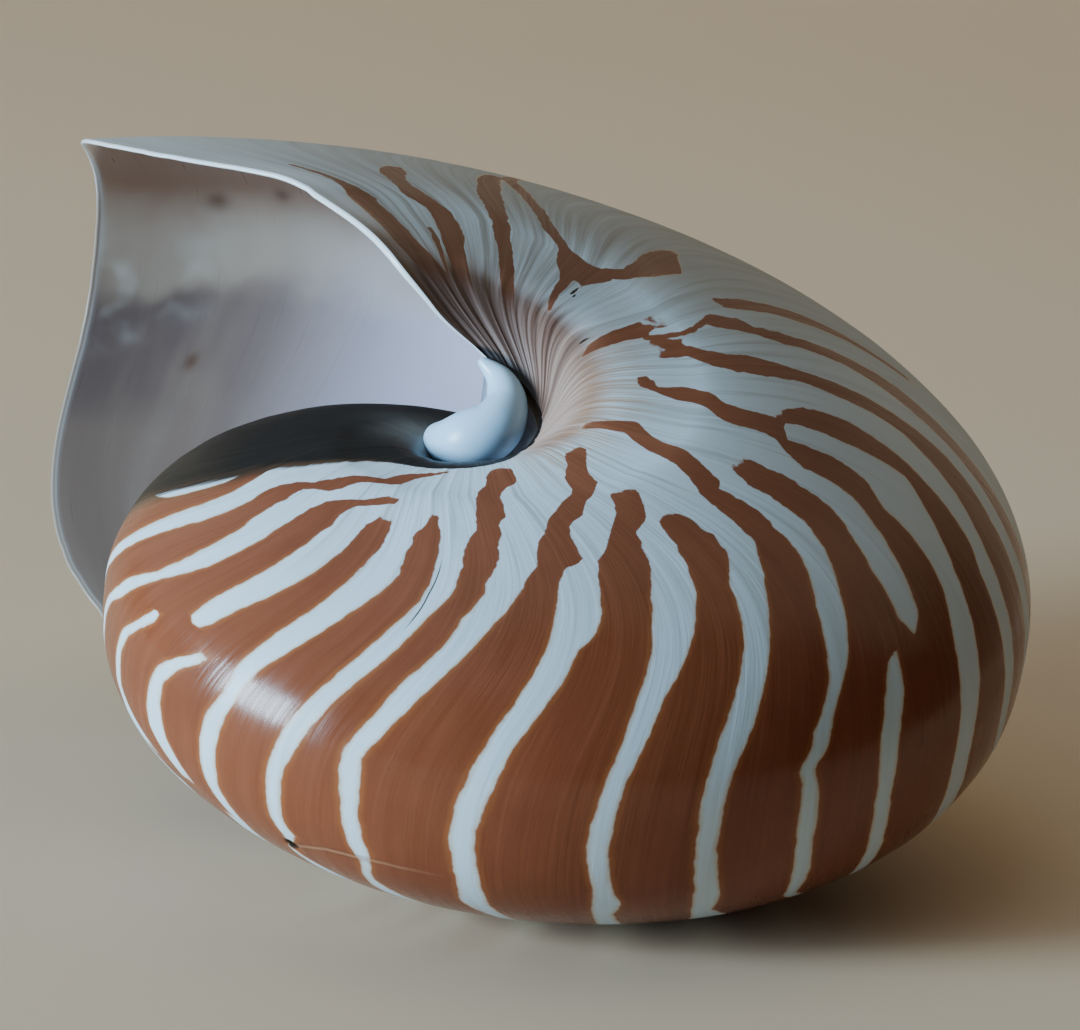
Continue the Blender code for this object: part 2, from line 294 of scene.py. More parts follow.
# %% The bands
CHART_START = 6.6  # radians behind the mouth where the chart begins
STEPS_PER_RADIAN = 500
BANDS = (
    ((64, 690, 720), (60, 690, 738), (55, 695, 755), (52, 708, 764), (49, 722, 773), (44, 724, 776),
     (38, 722, 779), (33, 714, 781), (28, 690, 783), (24, 600, 783), (20, 600, 783), (10, 600, 766),
     (0, 600, 748), (-20, 600, 752)),
    ((96.5, 1255, 1280), (95, 1225, 1272), (92, 1130, 1205), (90, 1078, 1150), (86, 1045, 1118),
     (82, 1000, 1065), (79, 965, 1030), (76, 940, 1003), (72, 912, 985), (68, 885, 955), (66, 862, 905),
     (64, 845, 888), (60, 822, 882), (57, 815, 883), (50, 832, 886), (46, 833, 902), (40, 832, 910),
     (30, 822, 917), (24, 816, 915), (20, 812, 900), (15, 805, 882), (10, 795, 870), (4, 775, 845),
     (0, 768, 828), (-20, 770, 830)),
    ((77.5, 1135, 1163), (74, 1100, 1160), (71, 1060, 1105), (68, 1010, 1062), (65, 980, 1046),
     (60, 960, 1040), (50, 955, 1033), (40, 960, 1033), (34, 962, 1033), (28, 950, 1033), (22, 932, 1037),
     (19.5, 925, 1080), (17.5, 918, 982), (14, 910, 975), (10, 900, 965), (6, 875, 945), (0, 850, 930),
     (-6, 845, 935), (-10, 848, 950), (-20, 850, 960)),
    ((67.5, 1135, 1168), (64, 1115, 1170), (60, 1110, 1168), (50, 1100, 1160), (40, 1090, 1157),
     (30, 1078, 1155), (24, 1074, 1155), (21, 1066, 1156), (19.5, 1020, 1157), (16, 1000, 1160)),
    ((20.5, 1045, 1140), (19, 998, 1110), (14, 1000, 1090), (10, 985, 1065), (6, 965, 1050), (0, 950, 1040),
     (-6, 958, 1045), (-11, 1000, 1065), (-16, 1040, 1090), (-20, 1065, 1110)),
    ((20.5, 1120, 1156), (19, 1127, 1158), (14, 1110, 1163), (10, 1090, 1165), (4, 1070, 1155),
     (0, 1070, 1152), (-6, 1085, 1154), (-11, 1105, 1158), (-16, 1120, 1164), (-20, 1130, 1170)),
    ((72.5, 1262, 1276), (68, 1245, 1280), (64, 1230, 1281), (60, 1225, 1282), (52, 1227, 1285),
     (48, 1220, 1284), (40, 1205, 1273), (30, 1195, 1270), (20, 1187, 1268), (10, 1188, 1262),
     (0, 1178, 1255), (-10, 1180, 1260), (-15, 1186, 1268), (-20, 1192, 1258)),
    ((98.5, 1455, 1545), (94, 1436, 1535), (91.5, 1430, 1528), (90, 1400, 1462), (86, 1393, 1461),
     (80, 1383, 1456), (75, 1378, 1442), (72, 1374, 1418), (70, 1368, 1413), (65, 1340, 1406),
     (60, 1330, 1395), (54, 1327, 1375), (50, 1325, 1370), (45, 1310, 1356), (40, 1308, 1355),
     (30, 1300, 1346), (20, 1295, 1345), (10, 1288, 1338), (6, 1285, 1340), (0, 1275, 1350),
     (-10, 1276, 1361), (-13, 1286, 1366), (-20, 1262, 1355)),
    ((99.5, 1775, 1880), (96, 1745, 1840), (94, 1730, 1815), (90, 1668, 1740), (86, 1650, 1716),
     (82, 1618, 1692), (80, 1600, 1662), (74, 1540, 1612), (71, 1520, 1565), (68, 1500, 1552),
     (65, 1480, 1549), (60.5, 1465, 1551), (59, 1460, 1512), (56, 1440, 1495), (50, 1420, 1487),
     (45, 1402, 1484), (40, 1392, 1483), (30, 1380, 1480), (20, 1372, 1477), (12, 1364, 1475),
     (9, 1360, 1475), (4, 1368, 1472), (0, 1370, 1470), (-10, 1383, 1478), (-14, 1380, 1477),
     (-20, 1370, 1470)),
    ((79.5, 1722, 1787), (76, 1705, 1775), (72, 1680, 1750), (69, 1650, 1725), (66, 1622, 1680),
     (64, 1608, 1668), (60, 1570, 1655), (56, 1555, 1645), (50, 1550, 1626), (44, 1545, 1618),
     (40, 1525, 1618), (30, 1515, 1615), (20, 1507, 1615), (10, 1505, 1612), (0, 1497, 1609),
     (-10, 1502, 1620), (-16, 1502, 1615), (-20, 1500, 1612)),
    ((68, 1735, 1780), (65, 1725, 1787), (60, 1718, 1788), (55, 1705, 1780), (50, 1695, 1750),
     (45, 1682, 1746), (40, 1670, 1743), (30, 1645, 1730), (20, 1640, 1720), (10, 1633, 1715),
     (0, 1630, 1718), (-10, 1640, 1723), (-14, 1646, 1722), (-20, 1636, 1720)),
    ((108.5, 1950, 2005), (106, 1965, 2022), (102, 1982, 2040), (98, 1990, 2055), (93.5, 1998, 2070),
     (92, 1975, 2045), (90, 1948, 2006), (86, 1940, 2005), (80, 1926, 1985), (75, 1905, 1955),
     (71, 1880, 1936), (69.5, 1862, 1932), (68.5, 1860, 1903), (64, 1852, 1903), (60, 1846, 1900),
     (56, 1840, 1890), (50, 1810, 1885), (46, 1795, 1872), (40, 1780, 1856), (30, 1765, 1850),
     (27, 1762, 1849), (22, 1757, 1840), (18, 1750, 1830), (15, 1745, 1829), (13, 1742, 1825),
     (11, 1741, 1817), (8.5, 1740, 1823), (0, 1740, 1826), (-10, 1750, 1831), (-15, 1750, 1831),
     (-20, 1745, 1830)),
    ((70.5, 1980, 2028), (67, 1960, 2025), (65, 1950, 2020), (60, 1947, 2013), (54, 1942, 2005),
     (50, 1932, 1996), (46, 1918, 1980), (40, 1900, 1970), (30, 1880, 1970), (28, 1875, 1972),
     (27, 1872, 1950), (26, 1869, 1936), (22, 1858, 1928), (20, 1855, 1925), (15, 1850, 1919),
     (13, 1844, 1917), (11, 1834, 1916), (8.5, 1841, 1916), (6, 1845, 1917), (0, 1847, 1920),
     (-10, 1851, 1922), (-20, 1846, 1920)),
    ((31, 1955, 1972), (28, 1952, 1985), (25, 1952, 1990), (22, 1953, 1990)),
    ((95.5, 2255, 2297), (93.5, 2242, 2306), (92, 2225, 2258), (90, 2200, 2256), (86, 2190, 2246),
     (82, 2170, 2236), (79, 2145, 2205), (76, 2130, 2190), (72, 2126, 2182), (68, 2120, 2178),
     (66, 2110, 2176), (64.5, 2092, 2122), (60, 2062, 2120), (56, 2057, 2116), (50, 2052, 2106),
     (46, 2036, 2078), (40, 2020, 2075), (34, 2010, 2070), (30, 2004, 2066), (27, 1985, 2058),
     (25, 1952, 2053), (20, 1952, 2046), (14, 1945, 2042), (10, 1942, 2040), (0, 1940, 2036),
     (-10, 1945, 2033), (-20, 1942, 2035)),
    ((67, 2160, 2200), (65, 2168, 2214), (62, 2170, 2228), (60, 2170, 2230), (54, 2166, 2225),
     (50, 2170, 2216), (44, 2170, 2202), (42, 2158, 2196), (40, 2145, 2190), (35, 2122, 2180),
     (30, 2105, 2170), (26, 2098, 2152), (20, 2090, 2146), (10, 2080, 2142), (4, 2072, 2140),
     (0, 2070, 2140), (-10, 2070, 2146), (-20, 2068, 2140)),
    ((91, 2388, 2475), (89, 2384, 2425), (86, 2368, 2416), (80, 2336, 2392), (74, 2311, 2370),
     (70, 2306, 2365), (64, 2300, 2345), (60, 2298, 2332), (50, 2280, 2315), (44, 2268, 2305),
     (40, 2250, 2300), (34, 2225, 2285), (30, 2205, 2270), (26, 2190, 2255), (20, 2180, 2240),
     (10, 2170, 2222), (0, 2168, 2215), (-20, 2166, 2210)),
    ((91.5, 2466, 2482), (89, 2458, 2475), (84, 2456, 2473), (80, 2459, 2476), (77, 2467, 2486),
     (75, 2470, 2496), (72, 2452, 2503), (68, 2442, 2482), (66, 2435, 2478), (64, 2425, 2450),
     (60, 2405, 2440), (50, 2390, 2420), (44, 2365, 2405), (40, 2348, 2395), (30, 2310, 2350),
     (20, 2275, 2315), (10, 2260, 2295), (0, 2255, 2290)),
    ((66, 2512, 2537), (62, 2500, 2532), (58, 2494, 2528), (50, 2484, 2515), (44, 2475, 2500),
     (40, 2465, 2485), (34, 2450, 2465)),
    ((115, 2468, 2476), (112, 2468, 2490), (108.6, 2469, 2511), (104, 2472, 2522), (99, 2476, 2532),
     (96, 2482, 2534), (92.5, 2478, 2536), (91.3, 2486, 2540), (90.4, 2505, 2550)),
    ((92.5, 2722, 2765), (91.2, 2712, 2792), (90.2, 2696, 2806), (89, 2684, 2748), (85, 2670, 2718),
     (80, 2656, 2692), (74, 2636, 2687), (70, 2626, 2685), (66, 2616, 2684), (64, 2627, 2682),
     (61, 2648, 2678), (58.5, 2660, 2672)),
    ((110, 2726, 2740), (106, 2734, 2757), (98.5, 2748, 2774), (93.4, 2750, 2783), (91.3, 2748, 2806),
     (90, 2756, 2826), (88, 2792, 2828), (83, 2811, 2841), (78, 2829, 2858), (71, 2845, 2867),
     (67, 2851, 2871), (61, 2865, 2883), (58, 2872, 2890), (50, 2896, 2912), (46, 2902, 2916),
     (40, 2910, 2921)),
    ((134, 2868, 2908), (128, 2862, 2914), (122, 2862, 2918), (116, 2872, 2924), (110, 2876, 2930),
     (106, 2890, 2936), (101, 2896, 2943), (97, 2908, 2952), (93.4, 2914, 2955), (91.3, 2922, 2960),
     (89.8, 2930, 2968), (83, 2929, 2966), (78, 2924, 2962), (72, 2918, 2956), (68, 2913, 2951),
     (61, 2907, 2938), (54, 2909, 2932), (49, 2912, 2926)),
    ((128, 3040, 3110), (120, 3040, 3110), (115, 3042, 3105), (107, 3046, 3100), (99, 3046, 3102),
     (93, 3036, 3096), (90.5, 3038, 3092), (89.8, 3050, 3092), (83, 3060, 3112), (80, 3062, 3110),
     (73.5, 3066, 3094), (68, 3050, 3084), (64.6, 3036, 3072), (61, 3030, 3050)),
    ((133, 3150, 3212), (125, 3120, 3212), (117, 3122, 3228), (109, 3152, 3242), (100, 3180, 3254),
     (98.5, 3182, 3250), (92, 3186, 3246), (90.5, 3190, 3242), (84, 3195, 3228), (76, 3200, 3214),
     (68, 3203, 3209)),
    ((118, 3122, 3130), (108, 3118, 3130), (98, 3112, 3126), (93, 3110, 3120)),
)


# %% [markdown]
# ## How deep in a band a point lies
#
# A signed distance, positive inside a band and negative outside, is smoother than a mask of ones and zeros.
# The material can shift it with noise and use it for the orange seam along each edge. In millimetres, all
# edges look equally sharp.

# %% Distance to the bands
FLANK_SHARE = 0.85  # the flank's usual distance from the axis, in radii
HALF_SECTION = 1.05  # length of the section's outline from the rim to the seam, in radii
CROSSES = -20  # a band that is listed down to this degree runs on over the outer rim
FAR_AWAY = 20  # millimetres; distances are cut off there


def along_growth(radians, size):
    """Millimetres = angle x the coil's radius in millimetres x the share of it where the flank lies."""
    return radians * size * 1000 * FLANK_SHARE


def across_section(degrees, size):
    """Millimetres = share of the half turn x radius in millimetres x the half section's length in radii."""
    return degrees * size * 1000 * HALF_SECTION / 180


def stripe_depth(growth, across, size):
    """Millimetres inside the nearest band's edge: the least distance to its left, right and two ends."""
    degrees = np.degrees(across)
    place = STEPS_PER_RADIAN * (growth + CHART_START)
    per_step = along_growth(1 / STEPS_PER_RADIAN, size)
    per_degree = across_section(1, size)
    depth = np.full(growth.shape, -50.0)
    for number, band in enumerate(BANDS):
        near = np.array(band, float)[::-1]
        crosses = near[0, 0] <= CROSSES
        far = (near[near[:, 0] > 24] if crosses else near)[::-1] * (-1, 1, 1)
        drift = 26 * wander(far[:, 0], 34, 40 + number) * np.clip((CROSSES - far[:, 0]) / 25, 0, 1)
        far[:, 1:] += drift[:, None]
        for rows in [np.concatenate([far, near])] if crosses else [far, near]:
            depth = np.maximum(depth, band_depth(degrees, place, rows, per_step, per_degree))
    return np.clip(depth, -FAR_AWAY, FAR_AWAY)


def band_depth(degrees, place, rows, per_step, per_degree):
    """Least of the distances to the left edge, the right edge and the two ends of one band."""
    left = np.interp(degrees, rows[:, 0], rows[:, 1])
    right = np.interp(degrees, rows[:, 0], rows[:, 2])
    sides = np.minimum(place - left, right - place) * per_step
    ends = np.minimum(degrees - rows[0, 0], rows[-1, 0] - degrees) * per_degree
    return np.minimum(sides, ends)


print(len(BANDS), "bands")

# %% [markdown]
# ## The black film's edge
#
# On the coil beside the mouth the animal's hood laid a film of black over the stripes. Its edge crosses the
# flank, then runs along the crest into the umbilicus, where it lines the funnel's bottom. The chart holds it
# as one curve: for each angle across the section, the growth angle up to which the black reaches.

# %% Where the film reaches
FILM_STEEPNESS = 0.55  # how steeply its edge runs against the growth lines
FILM_ACROSS = (0, 12, 30, 45, 55, 62, 70, 80, 90, 93, 96, 98, 102, 108, 113, 124, 133, 141, 150, 158,
               168, 176, 180)
FILM_REACH = (-5.29, -5.26, -5.21, -5.185, -5.165, -5.10, -5.0, -4.88, -4.8, -4.6, -4.4, -4.15, -3.78,
              -3.52, -3.4, -3.2, -3.0, -2.75, -2.4, -1.9, -1.05, -0.66, -0.80)


def film_depth(growth, across, size):
    """Millimetres inside the film: the angle still to go to its edge x radius x how steeply the edge runs."""
    reach = np.interp(np.degrees(np.abs(across)), FILM_ACROSS, FILM_REACH)
    return np.clip((reach - growth) * size * 1000 * FILM_STEEPNESS, -FAR_AWAY, FAR_AWAY)


print("the film reaches from", FILM_REACH[0], "at the rim to", FILM_REACH[-1], "at the seam")


# %% [markdown]
# ## Material helpers
#
# A procedural material is a small graph. These helpers keep each graph readable: one makes a node and fills
# its sockets, the others are the few sums that the finishes share. All of them add to the material that was
# begun last, whose graph is called tree and whose shader is called surface.

# %% Node helpers


def fresh_material(name):
    """A new material with its node tree and its principled shader."""
    material = bpy.data.materials.new(name)
    material.use_nodes = True
    return material, material.node_tree, material.node_tree.nodes["Principled BSDF"]


def feed(socket, value):
    """Give a socket a number or a colour, or link another socket to it."""
    if isinstance(value, bpy.types.NodeSocket):
        tree.links.new(value, socket)
    elif value is not None:
        socket.default_value = value


def set_surface(socket, value):
    """Feed one of the shader's own sockets."""
    feed(surface.inputs[socket], value)


def node(kind, *inputs, **settings):
    """A node of one kind, with its settings, whose first inputs are given as numbers or as other sockets."""
    made = tree.nodes.new("ShaderNode" + kind)
    for key, value in settings.items():
        setattr(made, key, value)
    for socket, value in zip(made.inputs, inputs):
        feed(socket, value)
    return made


def sums(operation, *inputs):
    """One math node's result."""
    return node("Math", *inputs, operation=operation).outputs[0]


def times(first, *others):
    """Product of some values."""
    for other in others:
        first = sums("MULTIPLY", first, other)
    return first


def plus(first, second):
    """Sum of two values."""
    return sums("ADD", first, second)


def larger(first, second):
    """The larger of two values."""
    return sums("MAXIMUM", first, second)


def attribute(name):
    """A value that rides on the mesh's points."""
    return node("Attribute", attribute_name=name).outputs["Fac"]


def ramp(value, low, high, to_low=0.0, to_high=1.0):
    """Smooth step of a value between two limits."""
    made = node("MapRange", value, low, high, to_low, to_high, interpolation_type="SMOOTHSTEP")
    return made.outputs[0]


def blend(share, first, second):
    """Colour mix: share 0 gives the first, 1 the second."""
    made = node("Mix", data_type="RGBA")
    colours = [(*colour, 1.0) if isinstance(colour, tuple) else colour for colour in (first, second)]
    for number, value in zip((0, 6, 7), (share, *colours)):
        feed(made.inputs[number], value)
    return made.outputs[2]


def coats(base, *layers):
    """A colour with coats over it, each blended in by its share: (share, colour), lowest first."""
    for share, colour in layers:
        base = blend(share, base, colour)
    return base


def grain(coordinates, stretch, detail=3.0, roughness=0.55):
    """Noise on coordinates stretched by three factors: long and thin where they differ."""
    mapping = node("Mapping", coordinates, (0, 0, 0), (0, 0, 0), stretch)
    made = node("TexNoise", mapping.outputs[0])
    for name, value in (("Scale", 1.0), ("Detail", detail), ("Roughness", roughness)):
        feed(made.inputs[name], value)
    return made.outputs["Fac"]


def add_bump(height, strength, distance):
    """Small relief from a value, as a bump node on the shader's normal."""
    bump = node("Bump")
    for name, value in (("Strength", strength), ("Distance", distance), ("Height", height)):
        feed(bump.inputs[name], value)
    set_surface("Normal", bump.outputs[0])


# %% [markdown]
# ## The outside's finish
#
# The outside is porcelain-like: bluish white with red-brown bands whose edges are slightly ragged and fade
# through orange. The black film lies over the earlier coil. The masks come from the distances on the mesh,
# with a little noise added so that no edge is a clean curve.
#
# The noises come first. Those on the growth chart are stretched one way and give growth lines. Those on the
# object's own coordinates are even in all directions and give blotches and ragged edges.

# %% Outside material: noises
outside, tree, surface = fresh_material("striped_porcelain")
chart_uv = node("UVMap", uv_map="growth_chart").outputs[0]
solid = node("TexCoord").outputs["Object"]
fine_lines = grain(chart_uv, (95, 2.6, 1), 4.0, 0.6)
broad_lines = grain(chart_uv, (30, 1.6, 1), 3.0, 0.6)
blotches = grain(solid, (55, 55, 55), 4.0)
ragged = grain(solid, (560, 560, 560), 2.0, 0.5)
swaying = grain(solid, (130, 130, 130), 2.0)
print("outside material, noises:", len(tree.nodes), "nodes")

# %% [markdown]
# ### White and brown
#
# The stripes' distance is shifted by noise, more where the surface is worn, and cut at zero. White and brown
# are each a base with coats over it. The brown turns orange at a band's edge, and a sandy halo lies outside
# it.

# %% Outside material: white and brown
labels = ("stripe", "film", "mouthward", "crest", "upper", "near_mouth_flank", "ripe")
stripe, film, mouthward, crest, upper, near_mouth_flank, ripe = [attribute(label) for label in labels]
worn = larger(upper, near_mouth_flank)
roughen = ramp(worn, 0.0, 1.0, 0.55, 1.7)
wobble = times(sums("SUBTRACT", ragged, 0.5), roughen)
sway = times(sums("SUBTRACT", swaying, 0.5), roughen)
edge = plus(plus(stripe, wobble), sway)
fresh = ramp(worn, 0.0, 0.9, 0.6, 0.12)

white = coats(
    (0.62, 0.765, 0.87),
    (ramp(fine_lines, 0.40, 0.75, 0.0, 0.18), (0.42, 0.49, 0.54)),
    (ramp(broad_lines, 0.48, 0.75, 0.0, 0.32), (0.37, 0.42, 0.45)),
    (ramp(blotches, 0.42, 0.7, 0.0, 0.35), (0.55, 0.63, 0.68)),
    (times(crest, ramp(broad_lines, 0.25, 0.7, 0.5, 0.85)), (0.27, 0.245, 0.21)),
    (times(ripe, 0.5), (0.42, 0.41, 0.38)),
    # Whites turn greyer and browner on the upper flank by the mouth.
    (times(near_mouth_flank, ramp(broad_lines, 0.38, 0.66, 0.25, 0.75)), (0.27, 0.245, 0.22)),
    (times(upper, ramp(broad_lines, 0.5, 0.66, 0.0, 0.4)), (0.36, 0.38, 0.38)),
)
brown = coats(
    (0.210, 0.060, 0.026),
    (ramp(broad_lines, 0.35, 0.7), (0.240, 0.073, 0.034)),
    (ramp(blotches, 0.4, 0.65, 0.0, 0.6), (0.175, 0.047, 0.020)),
    (ramp(fine_lines, 0.5, 0.8, 0.0, 0.16), (0.13, 0.035, 0.015)),
    (times(ramp(edge, 0.9, 0.05), fresh), (0.34, 0.115, 0.038)),
    (times(ripe, 0.55), (0.115, 0.027, 0.009)),
    (ramp(film, -1.8, 0.1, 0.0, 0.85), (0.045, 0.022, 0.013)),
    # Painted shade: the mouthward share darkens the brown as if shade lay between the pleats, over its own
    # dark brown.
    (larger(mouthward, times(near_mouth_flank, 0.6)), (0.115, 0.042, 0.023)),
)
halo = times(ramp(edge, -0.6, 0.0), fresh)
colour = coats(white, (halo, (0.60, 0.43, 0.23)), (ramp(edge, -0.14, 0.14), brown))

# %% [markdown]
# ### The funnel
#
# In the funnel the shell is a pinkish brown, drawn into fine dark lines. It is darkest by the mouth, where
# its own dark brown carries painted shade between the pleats, and paler behind, where a fan of sandy lines
# runs out over the white.

# %% Outside material: the funnel
funnel = attribute("funnel")
bare = ramp(edge, 0.25, -0.25)
fan = times(attribute("fan"), ramp(fine_lines, 0.40, 0.62))
# Painted shade: by the mouth the pleats take this colour as if shade lay between them, over their own dark
# brown.
shaded_dark_pleats = coats(
    (0.110, 0.062, 0.050),
    (ramp(broad_lines, 0.36, 0.62), (0.215, 0.150, 0.135)),
    (ramp(fine_lines, 0.5, 0.75, 0.0, 0.35), (0.095, 0.052, 0.040)),
)
pink = coats(
    (0.37, 0.225, 0.175),
    (ramp(broad_lines, 0.35, 0.6), (0.52, 0.375, 0.315)),
    (ramp(fine_lines, 0.5, 0.75, 0.0, 0.35), (0.33, 0.18, 0.13)),
    (times(fan, 0.85), (0.34, 0.165, 0.07)),
    (attribute("rosy"), blend(ramp(broad_lines, 0.34, 0.62), (0.17, 0.085, 0.058), (0.34, 0.225, 0.185))),
    (mouthward, shaded_dark_pleats),
)
uncovered = larger(ramp(edge, 0.5, -0.4, 0.12, 1.0), attribute("deep"))
colour = coats(
    colour,
    (times(fan, bare, 0.75), (0.46, 0.27, 0.13)),
    (times(larger(funnel, mouthward), uncovered), pink),
)

# %% [markdown]
# ### The film and the painted shade in the crease
#
# The film is almost black, with a brown stain near its edge and a grey haze beside the callus. Growth lines
# feather its edge. Along the crease where the callus meets the coil lies a dark band, partly the film's own
# black and partly painted shade.

# %% Outside material: the film and the crease
film_edge = plus(film, sums("MULTIPLY_ADD", fine_lines, 5.0, -2.5))
feather = plus(film, sums("MULTIPLY_ADD", fine_lines, 2.4, -1.2))
stain = blend(ramp(blotches, 0.4, 0.6), (0.035, 0.018, 0.011), (0.085, 0.042, 0.020))
black = coats(
    (0.003, 0.003, 0.003),
    (ramp(broad_lines, 0.42, 0.72), (0.011, 0.008, 0.008)),
    (ramp(film_edge, 2.2, 0.2), stain),
    (attribute("smoke"), (0.34, 0.34, 0.32)),
)
seal = plus(attribute("seal"), times(wobble, 0.7))
# Painted shade: a dark band along the crease at the callus's skin, partly the film's own black.
film_and_crease_shade = blend(ramp(blotches, 0.4, 0.6), (0.012, 0.014, 0.022), (0.055, 0.045, 0.045))
colour = coats(colour, (ramp(feather, -0.3, 0.5), black), (ramp(seal, 1.5, 0.8), film_and_crease_shade))

# %% [markdown]
# ### Cracks, a healed scar and pits
#
# A crack is a thin line where a signed distance passes through zero: the absolute value turns it into a
# valley, and a ramp keeps only its bottom. The healed scar is the same line, wider and sandy, with a shadow
# beside it.

# %% Outside material: cracks and pits
mended = attribute("healed")
scar = sums("ABSOLUTE", plus(attribute("scar_way"), times(sway, 0.9)))
cracked = times(attribute("crack"), ramp(scar, 0.14, 0.04))
healed = times(mended, ramp(scar, 0.22, 0.05, 0.0, 0.6))
below = times(mended, ramp(scar, 0.40, 0.22, 0.0, 0.35))
pitted = times(attribute("pits"), ramp(ragged, 0.3, 0.7, 0.5, 1.5))
colour = coats(
    colour,
    (healed, (0.46, 0.24, 0.13)),
    (sums("SUBTRACT", below, times(healed, 0.5)), (0.10, 0.04, 0.02)),
    (cracked, (0.02, 0.015, 0.012)),
    (ramp(pitted, 0.35, 0.6), (0.03, 0.018, 0.012)),
)
set_surface("Base Color", colour)

# %% [markdown]
# ### Gloss
#
# The bands are glossiest. The white, the worn flank, the crest, the funnel and the film are duller. The
# growth lines give a very shallow bump.

# %% Outside material: gloss and bump
gloss = times(ramp(edge, -0.3, 0.3, 1.0, 0.0), 0.24)
gloss = plus(gloss, ramp(larger(worn, crest), 0.0, 0.8, 0.20, 0.44))
gloss = plus(gloss, ramp(fine_lines, 0.3, 0.8, -0.04, 0.12))
gloss = larger(gloss, times(funnel, 0.5))
gloss = larger(gloss, ramp(film, -0.5, 0.5, 0.0, 0.46))
set_surface("Roughness", gloss)
height = sums("MULTIPLY_ADD", fine_lines, 0.5, times(broad_lines, 1.2))
add_bump(sums("SUBTRACT", height, times(cracked, 1.5)), 0.22, 0.00025)
set_surface("Specular IOR Level", 0.32)
print("outside material", len(tree.nodes), "nodes")

# %% [markdown]
# ## The lining's finish
#
# Inside, the shell is mother-of-pearl: taupe under the top of the mouth, then pale grey, a mauve band, and a
# bluish lilac where it turns in to the callus. The cut of the lip is plain white porcelain. A metallic sheen
# would look like foil, so the pearl comes from slow colour changes and a clear coat.

# %% Lining material
pearl, tree, surface = fresh_material("pearl_lining")
chart_uv = node("UVMap", uv_map="growth_chart").outputs[0]
solid = node("TexCoord").outputs["Object"]
clouds = grain(solid, (60, 60, 60), 3.0, 0.5)
painted_glints = grain(solid, (110, 110, 110), 2.0, 0.5)
drawn = grain(chart_uv, (9, 1.4, 1), 3.0, 0.5)
fine = grain(chart_uv, (90, 3, 1), 3.0, 0.6)
rim = attribute("rim")
inward = attribute("inward")
high = plus(attribute("across"), ramp(clouds, 0.3, 0.7, -3.5, 3.5))
mauve = times(ramp(high, -4.0, -10.0), ramp(high, -29.0, -17.0), ramp(inward, 0.36, 0.06))
pale = times(ramp(high, 4.0, -4.0), ramp(high, -16.0, -8.0), ramp(inward, 0.22, 0.08))
base = coats(
    (0.51, 0.43, 0.355),
    (ramp(drawn, 0.3, 0.75, 0.0, 0.5), (0.43, 0.355, 0.29)),
    (ramp(high, -1.0, 16.0), (0.305, 0.190, 0.130)),
    (times(ramp(high, -2.0, -10.0), ramp(drawn, 0.2, 0.7, 0.6, 1.0)), (0.265, 0.197, 0.175)),
    (times(mauve, ramp(drawn, 0.3, 0.6, 0.45, 1.0)), (0.150, 0.115, 0.125)),
    # Painted shade: the lining darkens close to the lip, more on the far side of the section.
    (times(ramp(inward, 0.24, 0.0, 0.0, 0.5), ramp(high, 12.0, -16.0, 0.3, 1.0)), (0.150, 0.112, 0.090)),
    (times(ramp(inward, 0.20, 0.60, 0.0, 0.95), ramp(high, 8.0, -8.0)), (0.58, 0.57, 0.73)),
    # Painted highlight: whitish glint spots in the pale band near the lip.
    (times(pale, ramp(painted_glints, 0.5, 0.72, 0.0, 0.8)), (0.66, 0.66, 0.64)),
    (attribute("spots"), (0.14, 0.07, 0.04)),
    (rim, (0.72, 0.80, 0.86)),
    (times(rim, ramp(high, 24.0, 0.0)), (0.34, 0.28, 0.24)),
)
set_surface("Base Color", base)
set_surface("Roughness", ramp(fine, 0.3, 0.8, 0.27, 0.4))
add_bump(drawn, 0.04, 0.0002)
set_surface("Coat Weight", 0.3)
set_surface("Coat Roughness", 0.18)
print("lining material", len(tree.nodes), "nodes")

# %% [markdown]
# ## The callus's finish
#
# The callus is milky. A little light that scatters under the surface takes the hardness out of its shadows.

# %% Callus material
callus_white, tree, surface = fresh_material("callus_porcelain")
milk = grain(node("TexCoord").outputs["Object"], (160, 160, 160), 3.0)
set_surface("Base Color", blend(ramp(milk, 0.3, 0.7), (0.50, 0.77, 1.0), (0.46, 0.72, 0.98)))
set_surface("Roughness", ramp(milk, 0.3, 0.7, 0.26, 0.36))
add_bump(milk, 0.15, 0.0003)
set_surface("Subsurface Weight", 0.15)
set_surface("Subsurface Radius", (0.003, 0.003, 0.003))
set_surface("Subsurface Scale", 0.3)
print("callus material", len(tree.nodes), "nodes")

# %% [markdown]
# ## The outside, in two halves
#
# The two flanks meet at the outer rim, and each half is one fine grid, so that a stripe's edge stays crisp.
# The grid runs on one chamber's length behind the first full turn, because that stretch is the chamber's
# floor. Columns are spaced evenly along the section's outline, so none is wasted where the angle changes
# fast.

# %% The callus's path and the section's length
CALLUS_SWELL, CALLUS_TAPER = 1.15, 0.9  # fullness in the middle, and how far it thins towards its ends
CALLUS_PATH = np.array((  # x, y, z and radius, in metres
    (0.0080, -0.0042, 0.0282, 0.0011),
    (0.0052, -0.0056, 0.0266, 0.0019),
    (0.0022, -0.0050, 0.0249, 0.0024),
    (0.0002, -0.0026, 0.0231, 0.0030),
    (0.0012, 0.0000, 0.0212, 0.0034),
    (0.0040, 0.0010, 0.0196, 0.0033),
    (0.0078, 0.0012, 0.0186, 0.0029),
))


def smooth_path(points, spots):
    """Catmull-Rom curve: a cubic through every point, with slopes from the neighbours."""
    ends = np.array([2 * points[0] - points[1], *points, 2 * points[-1] - points[-2]])
    first = np.minimum(spots.astype(int), len(points) - 2)
    t = (spots - first)[:, None]
    a, b, c, d = (ends[first + i] for i in range(4))
    return 0.5 * (2 * b + (c - a) * t + (2 * a - 5 * b + 4 * c - d) * t**2 + (3 * b - a - 3 * c + d) * t**3)


